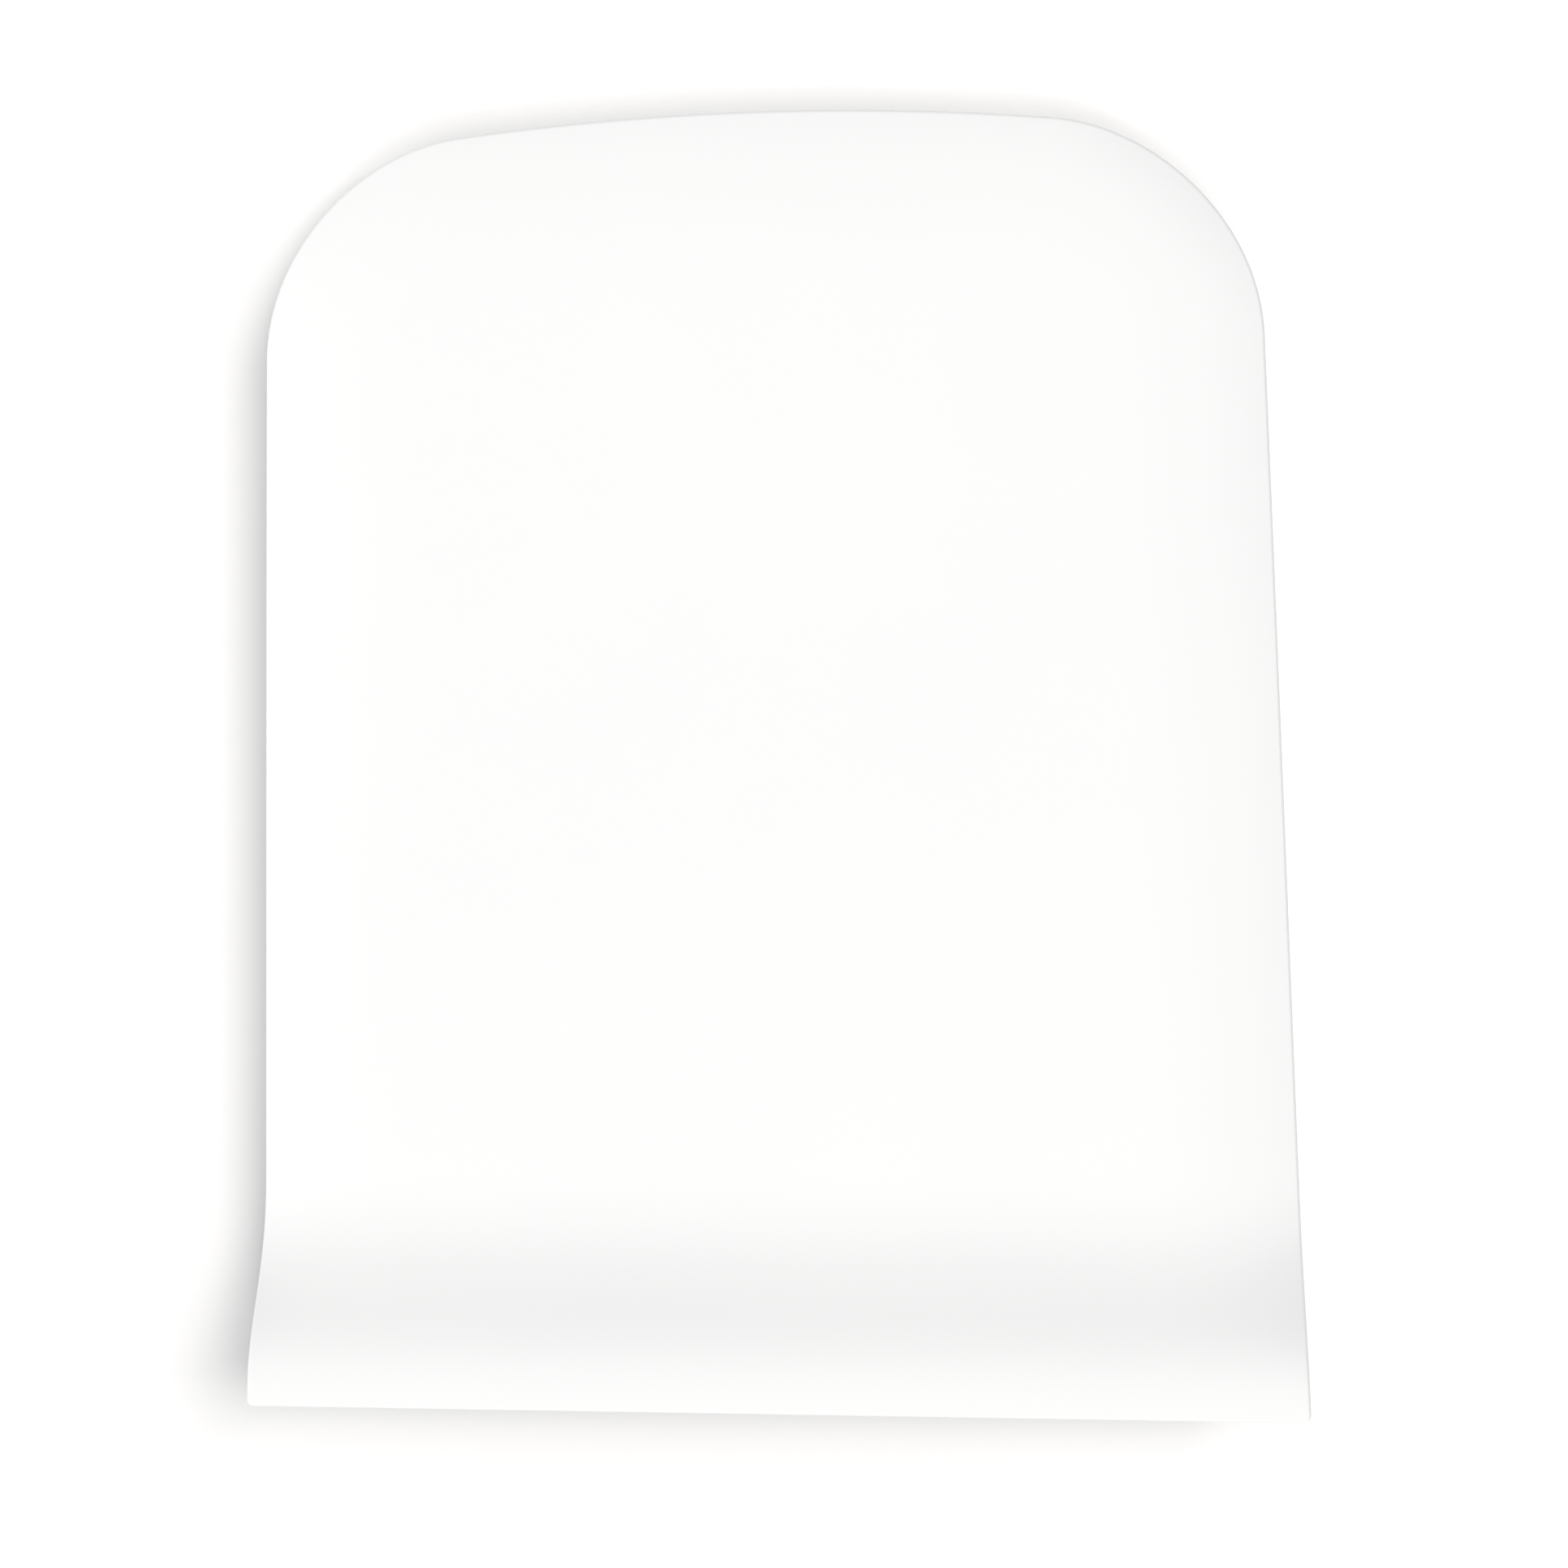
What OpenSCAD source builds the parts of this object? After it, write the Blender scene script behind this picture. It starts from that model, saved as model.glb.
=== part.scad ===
// Hand-held bench scraper with a smooth white cover and a turned-up scraping lip.
// Origin: centre of the footprint on the surface it rests on. +Y runs from the scraping edge
// to the rounded end, +Z points up out of the cover. Millimetres.
//
// The cover and the parts under it are laid out in panel coordinates [u, t]: u runs across
// the scraper, t is the distance from the scraping edge. place() turns them into X and Y,
// which adds the taper of the sides and the bow of the rounded end.

/* [Overall size] */
// Length from the scraping edge to the tip of the rounded end
scraper_l = 125.4; // [115:0.1:140]
// Width of the straight scraping edge
edge_w = 104; // [98:0.5:120]
// How far each side leans in for each millimetre away from the scraping edge
side_taper = 0.034; // [0:0.001:0.06]
// Radius of the two large corners of the rounded end
corner_r = 20.8; // [20.5:0.1:26]
// Radius of the two small corners of the scraping edge
edge_corner_r = 0.9; // [0.5:0.1:2]
// How far the middle of the rounded end stands out past its corners
end_bow = 4.2; // [0:0.1:6]

/* [Cover] */
// Height of the middle of the cover above the resting surface
crown_h = 11; // [10.8:0.1:14]
// How far the cover droops at its sides and rounded end
edge_droop = 1.3; // [0.5:0.1:3]
// Width of the drooping border
droop_w = 16; // [10:0.5:20]
// Thickness of the cover at its rim
cover_t = 2; // [1.6:0.1:2.6]
// Width of the rim inside which the cover's inner face is flat
rim_w = 3; // [2.6:0.1:4]
// Rounding of the cover's upper edge
top_round = 0.3; // [0.3:0.1:1]
// Rounding of the cover's lower edge
under_round = 0.5; // [0.2:0.1:0.6]

/* [Lip] */
// How far the scraping lip stands above the cover's drooping sides
lip_rise = 6.5; // [3:0.1:9]
// Distance from the scraping edge to the steepest line of the bend
bend_peak = 9.3; // [8:0.1:13]
// Distance from the scraping edge at which the bend has faded out
bend_end = 23; // [20:0.5:30]

/* [Blade] */
// Thickness of the blade
blade_t = 0.8; // [0.5:0.1:1]
// Length of the ground bevel on the blade's scraping edge
bevel_l = 3; // [1:0.1:5]
// Thickness left at the scraping edge of the blade
bevel_edge_t = 0.3; // [0.2:0.05:0.5]
// Width of the blade's tail, which the clamp bar holds
tail_w = 68; // [60:1:72]
// Depth of the blade's full-width front strip
blade_front_l = 12; // [9:0.5:14]
// Thickness of the clamp bar
bar_t = 1.4; // [1.2:0.1:1.5]

/* [Base] */
// Height of the base shell's underside above the resting surface
pad_stand = 0.8; // [0.4:0.1:1]
// Thickness of the base shell
base_t = 1.6; // [1.4:0.1:1.8]
// Width of the grip pad
pad_w = 60; // [50:1:64]
// Thickness of the rim seal
seal_t = 0.5; // [0.3:0.1:0.8]
// Number of finger grooves in the grip pad
groove_count = 7; // [3:1:9]

/* [Screws] */
// Diameter of the screw shanks and of the holes they bite into
screw_d = 2.2; // [2:0.1:2.4]
// Diameter of the screw heads
head_d = 4.2; // [3.8:0.1:4.6]
// Height of the countersunk screw heads
head_h = 1.1; // [0.9:0.1:1.2]

/* [Hidden] */
$fn = 48;

half_w = edge_w / 2;
narrowing = side_taper / half_w;      // share of the width lost for each millimetre of t
bow_power = 5;                        // the bow builds up only near the rounded end
droop_power = 2.6;                    // the droop steepens towards the rim
lip_z = crown_h - edge_droop + lip_rise;   // the lip's edge is straight at this height
inner_flat_z = crown_h - cover_t - droop(rim_w);
floor_z = pad_stand + base_t;         // upper face of the base shell's floor
fit_gap = 0.15;                       // clearance round parts that drop into pockets
rim_gap = 0.3;                        // clearance inside the thick rim of the cover
overlap = 0.1;                        // how far shapes of one part reach into each other
above_all = 40;                       // a height that clears the whole scraper

plate_t = 1.6;                        // core frame's main plate
plate_z = inner_flat_z - plate_t;
plate_front_t = 26;
plate_front_r = 8;
apron_start_t = 8.5;                  // the apron fills the space between lip and blade
beam_front_t = 24;                    // the beam over the blade's tail
beam_back_t = 34;
rib_t = 1.4;
rib_z = 4.2;                          // lower edge of the ribs
rib_u = 20;                           // the two long ribs, either side of the middle
long_rib_l = 80;
cross_rib_ts = [52, 70, 88, 106];
cross_rib_l = 66;
boss_d = 6.4;

bar_gap = 0.2;                        // clearance between the clamp bar and the base's floor
bar_z = floor_z + bar_gap;
blade_tail_z = bar_z + bar_t + blade_t;           // upper face of the blade's tail
blade_w = edge_w - 2 * (rim_w + rim_gap);
edge_inset = 0.1;                     // the blade's edge lies this far behind the lip's
tail_end_t = 33;                      // back end of the blade's tail
bar_depth = 7;
clamp_t = 29;                         // line of the blade screws
blade_dive_start = 7;                 // where the blade leaves the inside of the lip
blade_dive_end = 24;                  // where its tail lies flat
tail_gap_w = tail_w + 1;              // opening for the blade's tail in base and seal

base_front_t = 18;                    // the base shell's front, before its inset
base_front_r = 14;
belly_inset = 10;                     // the base shell's rounded belly, inset at the bottom
belly_top_z = 5;
belly_steps = 5;
wall_out = 1.8;                       // insets of the base shell's wall, outside and inside
wall_in = wall_out + 1.4;
pad_front_t = 40;
pad_back_t = 108;
pad_front_r = 8;
pad_back_r = 16;
pad_sunk = 0.8;                       // depth of the pad's pocket in the base shell
pad_top_z = pad_stand + pad_sunk;
groove_w = 1.8;
groove_l = 40;
groove_depth = 0.6;
groove_margin = 8;                    // from the pad's ends to the first and last groove

shell_screws = [[-37, 36], [37, 36], [-36, 70], [36, 70], [-31, 105], [31, 105]];
blade_screw_u = [-27, -9, 9, 27];
shell_screw_l = 5.2;
blade_screw_l = 3.9;
screw_tip_l = 0.6;
screw_tip_d = 1;

white_gloss = [0.97, 0.97, 0.97];
white_satin = [0.9, 0.9, 0.9];

// ---- Layout ----

// Panel coordinates to X and Y
function place(p) = [
    p[0] * (1 - narrowing * p[1]),
    p[1] - end_bow * pow(p[0] / half_w, 2) * pow(p[1] / scraper_l, bow_power) - scraper_l / 2
];

// A panel with round corners, as an anticlockwise outline. It is half_u wide on each side of
// the centre line and runs from t0 to t1. The long edges get extra points for the bow.
function panel(half_u, t0, t1, front_r, back_r, steps = 8, edge_steps = 10) = [
    for (i = [0:steps]) let (a = 270 + 90 * i / steps)
        [half_u - front_r + front_r * cos(a), t0 + front_r + front_r * sin(a)],
    for (i = [0:steps]) let (a = 90 * i / steps)
        [half_u - back_r + back_r * cos(a), t1 - back_r + back_r * sin(a)],
    for (i = [1:edge_steps - 1])
        [(half_u - back_r) * (1 - 2 * i / edge_steps), t1],
    for (i = [0:steps]) let (a = 90 + 90 * i / steps)
        [-half_u + back_r + back_r * cos(a), t1 - back_r + back_r * sin(a)],
    for (i = [0:steps]) let (a = 180 + 90 * i / steps)
        [-half_u + front_r + front_r * cos(a), t0 + front_r + front_r * sin(a)]
];

// The cover's outline moved inward, closed off in front of the base
function inset_panel(d) = panel(half_w - d, base_front_t + d, scraper_l - d,
                                base_front_r - d, corner_r - d);

// Distance in from the sides and the rounded end; the scraping edge doesn't count
function side_distance(p) = let (
    across = abs(p[0]) - (half_w - corner_r),
    along = p[1] - (scraper_l - corner_r)
) across > 0 && along > 0 ? corner_r - norm([across, along])
                          : corner_r - max(across, along);

// ---- Heights ----

// How far the drooping border has dropped at distance d from the rim
function droop(d) = edge_droop * pow(1 - min(max(d, 0), droop_w) / droop_w, droop_power);

// Area under the bend's slope curve, a sine hump with its top at bend_peak
function bend_area(t) = t < bend_peak
    ? t / 2 - bend_peak / (2 * PI) * sin(180 * t / bend_peak)
    : t / 2 + (bend_end - bend_peak) / (2 * PI)
              * sin(180 * (t - bend_peak) / (bend_end - bend_peak));

// Share of the way up to the lip at distance t: 1 at the scraping edge, 0 past the bend
function bend(t) = 1 - 2 * bend_area(min(max(t, 0), bend_end)) / bend_end;

// A height of the body at distance t, once the bend has carried it up to a height of the lip
function bent(t, body_z, edge_z) = body_z + (edge_z - body_z) * bend(t);

// Drop of a rounded edge of radius r at distance d from the edge
function rounding(d, r) = d >= r ? 0 : r - sqrt(r * r - pow(r - max(d, 0), 2));

function rim_distance(p) = min(side_distance(p), p[1]);

function cover_top(p) = bent(p[1], crown_h - droop(side_distance(p)), lip_z)
                        - rounding(rim_distance(p), top_round);

function cover_under(p) = bent(p[1], crown_h - cover_t - droop(min(side_distance(p), rim_w)),
                               lip_z - cover_t)
                          + rounding(rim_distance(p), under_round);

// The cover's inner face inside its thick rim
function inner_z(t) = bent(t, inner_flat_z, lip_z - cover_t);

function ease(s) = let (c = min(max(s, 0), 1)) c * c * (3 - 2 * c);

// Upper face of the blade: against the lip in front, flat on the clamp bar behind
function blade_top(t) = let (
    dive = ease((t - blade_dive_start) / (blade_dive_end - blade_dive_start))
) inner_z(t) * (1 - dive) + blade_tail_z * dive;

function blade_under(t) = blade_top(t) - bevel_edge_t
    - (blade_t - bevel_edge_t) * min(t / bevel_l, 1);

// ---- Builders ----

// Strips of triangles between consecutive rings of n points; closed rings wrap round
function strips(rings, n, closed) = [
    for (k = [0:rings - 2], i = [0:n - (closed ? 1 : 2)]) let (
        j = (i + 1) % n,
        a = k * n + i, b = k * n + j, c = (k + 1) * n + j, e = (k + 1) * n + i
    ) each [[a, c, b], [a, e, c]]
];

function at_height(outline, z) = [for (p = outline) [place(p)[0], place(p)[1], z]];

// Everything under the cover's rim stops at this height
function under_rim(outline, gap) = [
    for (p = outline) [place(p)[0], place(p)[1], cover_under(p) - gap]
];

// A profile of [t, z] points carried across the scraper
module across(profile, w) {
    translate([-w / 2, -scraper_l / 2, 0])
        rotate([90, 0, 90])
            linear_extrude(w) polygon(profile);
}

// A flat panel between two heights
module slab(outline, z0, z1) {
    translate([0, 0, z0])
        linear_extrude(z1 - z0) polygon([for (p = outline) place(p)]);
}

module at_panel(p, z) {
    translate([place(p)[0], place(p)[1], z]) children();
}

// Countersunk hole for a screw that enters from below
module screw_hole(depth) {
    mouth_d = head_d + 2 * fit_gap;
    shank_hole_d = screw_d + 2 * fit_gap;
    translate([0, 0, -1]) cylinder(d = mouth_d, h = 1);
    cylinder(d1 = mouth_d, d2 = shank_hole_d, h = head_h);
    cylinder(d = shank_hole_d, h = depth);
}

// Countersunk cross-head screw, head down, its head flush at height z
module screw(length) {
    recess = 0.5;
    slot_w = 0.55;
    slot_l = 2.4;
    color([0.75, 0.75, 0.77])
        difference() {
            union() {
                cylinder(d1 = head_d, d2 = screw_d, h = head_h);
                cylinder(d = screw_d, h = length - screw_tip_l);
                translate([0, 0, length - screw_tip_l])
                    cylinder(d1 = screw_d, d2 = screw_tip_d, h = screw_tip_l);
            }
            for (a = [0, 90])
                rotate([0, 0, a])
                    translate([-slot_l / 2, -slot_w / 2, -overlap])
                        cube([slot_l, slot_w, recess + overlap]);
        }
}

// ---- Cover ----

// Rows of the cover, from the scraping edge to the rounded end, as distances t
round_steps = 3;
bend_steps = 17;
body_steps = 7;
corner_steps = 12;
body_end_t = scraper_l - corner_r;
cover_rows = [
    for (i = [0:round_steps]) top_round * (1 - cos(90 * i / round_steps)),
    for (i = [0:bend_steps]) edge_corner_r + (bend_end - edge_corner_r) * i / bend_steps,
    for (i = [1:body_steps]) bend_end + (body_end_t - bend_end) * i / body_steps,
    for (i = [1:corner_steps]) body_end_t + corner_r * sin(90 * i / corner_steps)
];

// Columns as shares of the half width, close together near the rim
column_steps = 12;
round_share = top_round / half_w;
half_columns = [
    for (i = [0:column_steps]) (1 - round_share) * (1 - pow(1 - i / column_steps, 2)),
    for (i = [1:round_steps]) 1 - round_share * (1 - cos(90 * (1 - i / round_steps)))
];
columns = [
    for (i = [len(half_columns) - 1:-1:1]) -half_columns[i],
    each half_columns
];

// Half width of the cover at distance t, in panel coordinates
function half_width(t) =
    t < edge_corner_r
        ? half_w - edge_corner_r + sqrt(pow(edge_corner_r, 2) - pow(edge_corner_r - t, 2))
    : t > body_end_t
        ? half_w - corner_r + sqrt(max(0, pow(corner_r, 2) - pow(t - body_end_t, 2)))
    : half_w;

module top_cover() {
    n = len(columns);
    rows = len(cover_rows);
    grid = [for (t = cover_rows, c = columns) [c * half_width(t), t]];
    upper = [for (p = grid) [place(p)[0], place(p)[1], cover_top(p)]];
    lower = [for (p = grid) [place(p)[0], place(p)[1], cover_under(p)]];
    top_faces = strips(rows, n, false);
    size = rows * n;
    rim = [
        for (i = [0:n - 1]) i,
        for (k = [1:rows - 1]) k * n + n - 1,
        for (i = [n - 2:-1:0]) (rows - 1) * n + i,
        for (k = [rows - 2:-1:1]) k * n
    ];
    wall = [
        for (i = [0:len(rim) - 1]) let (a = rim[i], b = rim[(i + 1) % len(rim)])
            each [[a, b, b + size], [a, b + size, a + size]]
    ];
    color(white_gloss)
        polyhedron(
            points = concat(upper, lower),
            faces = concat(
                top_faces,
                [for (f = top_faces) [f[2] + size, f[1] + size, f[0] + size]],
                wall
            )
        );
}

// ---- Core frame ----

module core_frame() {
    frame_inset = rim_w + rim_gap;
    rib_h = plate_z - rib_z + overlap;
    hole_spare = 0.3;                 // the screw holes go this much past the screws' tips
    shell_hole_l = pad_stand + shell_screw_l - floor_z + hole_spare;
    blade_hole_l = blade_screw_l - bar_t - blade_t + hole_spare;
    apron = [
        for (t = [apron_start_t:1:beam_front_t]) [t, inner_z(t)],
        [beam_back_t, inner_flat_z],
        [beam_back_t, blade_tail_z],
        for (t = [beam_front_t:-1:apron_start_t]) [t, blade_top(t)]
    ];
    color(white_satin)
        difference() {
            union() {
                slab(panel(half_w - frame_inset, plate_front_t, scraper_l - frame_inset,
                           plate_front_r, corner_r - frame_inset), plate_z, inner_flat_z);
                across(apron, tail_w);
                for (u = [-rib_u, rib_u])
                    translate([u - rib_t / 2, beam_back_t - 1 - scraper_l / 2, rib_z])
                        cube([rib_t, long_rib_l, rib_h]);
                for (t = cross_rib_ts)
                    translate([-cross_rib_l / 2, t - rib_t / 2 - scraper_l / 2, rib_z])
                        cube([cross_rib_l, rib_t, rib_h]);
                for (p = shell_screws)
                    at_panel(p, floor_z) cylinder(d = boss_d, h = plate_z - floor_z + overlap);
            }
            for (p = shell_screws)
                at_panel(p, floor_z - overlap)
                    cylinder(d = screw_d, h = overlap + shell_hole_l);
            for (u = blade_screw_u)
                at_panel([u, clamp_t], blade_tail_z - overlap)
                    cylinder(d = screw_d, h = overlap + blade_hole_l);
        }
}

// ---- Blade and its clamp ----

module blade() {
    hole_d = screw_d + 2 * fit_gap;
    wing_corner_r = 3;
    tail_corner_r = 2;
    cut_front_t = -5;                 // ahead of the scraping edge, which stays straight
    tail_front_t = 5;                 // the tail's plate runs on under the front strip
    profile = [
        [edge_inset, blade_top(0)],
        for (t = [1:1:tail_end_t]) [t, blade_top(t)],
        for (t = [tail_end_t:-1:bevel_l]) [t, blade_under(t)],
        [edge_inset, blade_under(0)]
    ];
    color([0.72, 0.73, 0.75])
        difference() {
            intersection() {
                across(profile, blade_w);
                union() {
                    slab(panel(blade_w / 2, cut_front_t, blade_front_l, 1, wing_corner_r),
                         0, above_all);
                    slab(panel(tail_w / 2, tail_front_t, tail_end_t, 1, tail_corner_r),
                         0, above_all);
                }
            }
            for (u = blade_screw_u)
                at_panel([u, clamp_t], blade_tail_z - 2 * blade_t)
                    cylinder(d = hole_d, h = 3 * blade_t);
        }
}

module blade_clamp_bar() {
    bar_end_r = 2.5;
    color([0.6, 0.61, 0.63])
        difference() {
            slab(panel(tail_w / 2 - 1, clamp_t - bar_depth / 2, clamp_t + bar_depth / 2,
                       bar_end_r, bar_end_r), bar_z, bar_z + bar_t);
            for (u = blade_screw_u)
                at_panel([u, clamp_t], bar_z) screw_hole(bar_t + 1);
        }
}

// ---- Base shell, seal and grip ----

// Insets and heights of the base shell's rounded belly, from the bottom up
function belly(inset_low, inset_high, z_low, z_high) = [
    for (i = [0:belly_steps]) let (a = 90 * i / belly_steps)
        [inset_low - (inset_low - inset_high) * sin(a), z_high - (z_high - z_low) * cos(a)]
];

module base_shell() {
    outside = belly(belly_inset, wall_out, pad_stand, belly_top_z);
    inside = belly(belly_inset, wall_in, floor_z, belly_top_z);
    rings = [
        for (r = outside) at_height(inset_panel(r[0]), r[1]),
        under_rim(inset_panel(wall_out), seal_t),
        under_rim(inset_panel(wall_in), seal_t),
        for (i = [belly_steps:-1:0]) at_height(inset_panel(inside[i][0]), inside[i][1])
    ];
    n = len(rings[0]);
    count = len(rings);
    opening_front_t = base_front_t - 1;
    opening_back_t = blade_dive_end + 8;
    opening = [
        for (t = [opening_front_t:1:opening_back_t]) [t, blade_under(t) - fit_gap],
        [opening_back_t, above_all],
        [opening_front_t, above_all]
    ];
    color(white_satin)
        difference() {
            polyhedron(
                points = [for (r = rings) each r],
                faces = concat(
                    [[for (i = [0:n - 1]) i]],
                    strips(count, n, true),
                    [[for (i = [n - 1:-1:0]) (count - 1) * n + i]]
                )
            );
            across(opening, tail_gap_w);
            slab(panel(pad_w / 2 + fit_gap, pad_front_t - fit_gap, pad_back_t + fit_gap,
                       pad_front_r + fit_gap, pad_back_r + fit_gap), -1, pad_top_z);
            for (p = shell_screws)
                at_panel(p, pad_stand) screw_hole(base_t + 1);
        }
}

module rim_seal() {
    seal_out = wall_out + 0.15;
    seal_in = wall_in - 0.15;
    loops = [
        under_rim(inset_panel(seal_out), seal_t),
        under_rim(inset_panel(seal_in), seal_t),
        under_rim(inset_panel(seal_in), 0),
        under_rim(inset_panel(seal_out), 0),
        under_rim(inset_panel(seal_out), seal_t)
    ];
    n = len(loops[0]);
    wrap = 4 * n;
    faces = [for (f = strips(5, n, true)) [f[2] % wrap, f[1] % wrap, f[0] % wrap]];
    color([0.45, 0.46, 0.48])
        difference() {
            polyhedron(points = [for (i = [0:3]) each loops[i]], faces = faces);
            translate([-tail_gap_w / 2, -scraper_l / 2, 0])
                cube([tail_gap_w, blade_dive_end, above_all]);
        }
}

module grip_pad() {
    pitch = (pad_back_t - pad_front_t - 2 * groove_margin) / (groove_count - 1);
    color([0.55, 0.57, 0.6])
        difference() {
            slab(panel(pad_w / 2, pad_front_t, pad_back_t, pad_front_r, pad_back_r),
                 0, pad_top_z);
            for (i = [0:groove_count - 1])
                at_panel([0, pad_front_t + groove_margin + i * pitch], -1) {
                    translate([-groove_l / 2, -groove_w / 2, 0])
                        cube([groove_l, groove_w, 1 + groove_depth]);
                    for (s = [-1, 1])
                        translate([s * groove_l / 2, 0, 0])
                            cylinder(d = groove_w, h = 1 + groove_depth);
                }
        }
}

// ---- Screws ----

module shell_screw(i) {
    at_panel(shell_screws[i - 1], pad_stand) screw(shell_screw_l);
}

module blade_screw(i) {
    at_panel([blade_screw_u[i - 1], clamp_t], bar_z) screw(blade_screw_l);
}

top_cover();
core_frame();
blade();
blade_clamp_bar();
base_shell();
rim_seal();
grip_pad();
for (i = [1:len(shell_screws)])
    shell_screw(i);
for (i = [1:len(blade_screw_u)])
    blade_screw(i);
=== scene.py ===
"""A bench scraper lying on a pale table: the looks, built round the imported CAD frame.

Sizes are millimetres and positions come from the frame. The cover and what lies under it are
laid out in panel coordinates: u across the scraper, t the distance from the scraping edge.
place() turns them into X and Y, as the CAD model does.
"""

import math

import bmesh
import bpy
import numpy as np
from mathutils import Matrix, Vector

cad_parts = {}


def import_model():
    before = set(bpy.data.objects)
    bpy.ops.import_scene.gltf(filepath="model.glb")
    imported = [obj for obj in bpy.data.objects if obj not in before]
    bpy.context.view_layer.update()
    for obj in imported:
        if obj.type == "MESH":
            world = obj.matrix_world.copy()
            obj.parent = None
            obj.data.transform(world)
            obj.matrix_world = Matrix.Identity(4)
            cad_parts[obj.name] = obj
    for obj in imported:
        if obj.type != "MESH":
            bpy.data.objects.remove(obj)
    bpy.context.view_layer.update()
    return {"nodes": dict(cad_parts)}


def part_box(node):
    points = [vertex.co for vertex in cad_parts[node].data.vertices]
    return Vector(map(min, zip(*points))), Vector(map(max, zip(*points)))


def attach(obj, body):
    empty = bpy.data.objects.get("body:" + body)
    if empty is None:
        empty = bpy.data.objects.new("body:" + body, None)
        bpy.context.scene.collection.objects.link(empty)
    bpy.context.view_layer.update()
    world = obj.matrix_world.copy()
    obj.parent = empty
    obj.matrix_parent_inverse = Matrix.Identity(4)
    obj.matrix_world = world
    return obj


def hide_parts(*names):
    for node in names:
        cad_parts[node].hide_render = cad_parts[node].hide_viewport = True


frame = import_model()
MM = 0.001

# ---- Sizes ----

cover_low, cover_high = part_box("top_cover")
base_low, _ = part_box("base_shell")
blade_low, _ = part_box("blade")
_, pad_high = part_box("grip_pad")

LENGTH = (cover_high.y - cover_low.y) / MM
EDGE_Y = cover_low.y / MM

EDGE_W = 104.0            # width of the straight end
SIDE_TAPER = 0.034        # how far each side leans in for each millimetre
CORNER_R = 20.8
EDGE_CORNER_R = 0.9
END_BOW = 4.2
BOW_POWER = 5

LIP_RISE = 6.5            # how far the lip stands above the drooping sides
BEND_PEAK = 9.3
BEND_END = 23.0

EDGE_DROOP = 1.3
DROOP_W = 16.0
DROOP_POWER = 2.6
LIP_Z = cover_high.z / MM
CROWN_H = LIP_Z - LIP_RISE + EDGE_DROOP
COVER_T = 2.0
RIM_W = 3.0               # the cover's thick rim
RIM_GAP = 0.3             # clearance between the blade and the rim
TOP_ROUND = 0.3
UNDER_ROUND = 0.5

BLADE_T = 0.8
BEVEL_L = 3.0
BEVEL_EDGE_T = 0.3
EDGE_INSET = 0.1          # the blade's edge lies this far behind the lip's
BLADE_W = EDGE_W - 2 * (RIM_W + RIM_GAP)
BLADE_FRONT_L = 12.0      # the blade is at its full width up to here
BLADE_CORNER_R = 3.0
TAIL_W = 68.0
TAIL_END = 33.0
TAIL_GAP = 0.5            # clearance at each side of the blade's tail
DIVE_START = 7.0          # the blade leaves the lip here
DIVE_END = 24.0           # and lies flat from here

PAD_STAND = base_low.z / MM
BASE_T = 1.6
BASE_FRONT = 18.0
BASE_FRONT_R = 14.0
BELLY_INSET = 10.0        # the rounded belly, inset at the bottom
BELLY_TOP_Z = 5.0
WALL_OUT = 1.8            # insets of the base's wall, outside and inside
WALL_IN = 3.2
SEAL_T = 0.5
SEAL_MARGIN = 0.15        # the seal lies this far inside both faces of the wall

PAD_TOP_Z = pad_high.z / MM
PAD_W = 60.0
PAD_FRONT = 40.0
PAD_BACK = 108.0
PAD_FRONT_R = 8.0
PAD_BACK_R = 16.0
GROOVES = 7
GROOVE_MARGIN = 8.0
GROOVE_L = 40.0
GROOVE_W = 1.8
GROOVE_DEPTH = 0.6
PAD_ROUND = 0.5

SCREW_D = 2.2
HEAD_D = 4.2
HEAD_H = 1.1
FIT_GAP = 0.15            # clearance round parts that drop into pockets
SCREW_COUNT = 6
BLADE_SCREW_COUNT = 4
ABOVE_ALL = 30.0          # a height that clears the whole scraper

HALF_W = EDGE_W / 2
NARROWING = SIDE_TAPER / HALF_W
BODY_END = LENGTH - CORNER_R


# ---- Layout and heights, as in the CAD model ----

def place(u, t):
    """Panel coordinates to X and Y."""
    x = u * (1 - NARROWING * t)
    y = t - END_BOW * (u / HALF_W) ** 2 * (t / LENGTH) ** BOW_POWER + EDGE_Y
    return x, y


def round_panel_distance(u, t, half_u, t0, t1, front_r, back_r):
    """Distance in from the outline of a panel with round corners."""
    in_front = t < (t0 + t1) / 2
    radius = np.where(in_front, front_r, back_r)
    across = np.abs(u) - (half_u - radius)
    along = np.where(in_front, t0 + radius - t, t - (t1 - radius))
    corner = (across > 0) & (along > 0)
    return np.where(corner, radius - np.hypot(across, along), radius - np.maximum(across, along))


def side_distance(u, t):
    """Distance in from the sides and the round end; the straight edge doesn't count."""
    across = np.abs(u) - (HALF_W - CORNER_R)
    along = t - BODY_END
    corner = (across > 0) & (along > 0)
    return np.where(corner, CORNER_R - np.hypot(across, along),
                    CORNER_R - np.maximum(across, along))


def droop(d):
    """How far the border of the cover has dropped at distance d from the rim."""
    return EDGE_DROOP * (1 - np.clip(d, 0, DROOP_W) / DROOP_W) ** DROOP_POWER


def bend(t):
    """Share of the way up to the lip: 1 at the scraping edge, 0 past the bend."""
    t = np.clip(t, 0, BEND_END)
    fall = BEND_END - BEND_PEAK
    before = -BEND_PEAK / (2 * np.pi) * np.sin(np.pi * t / BEND_PEAK)
    after = fall / (2 * np.pi) * np.sin(np.pi * (t - BEND_PEAK) / fall)
    area = t / 2 + np.where(t < BEND_PEAK, before, after)
    return 1 - 2 * area / BEND_END


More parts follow.
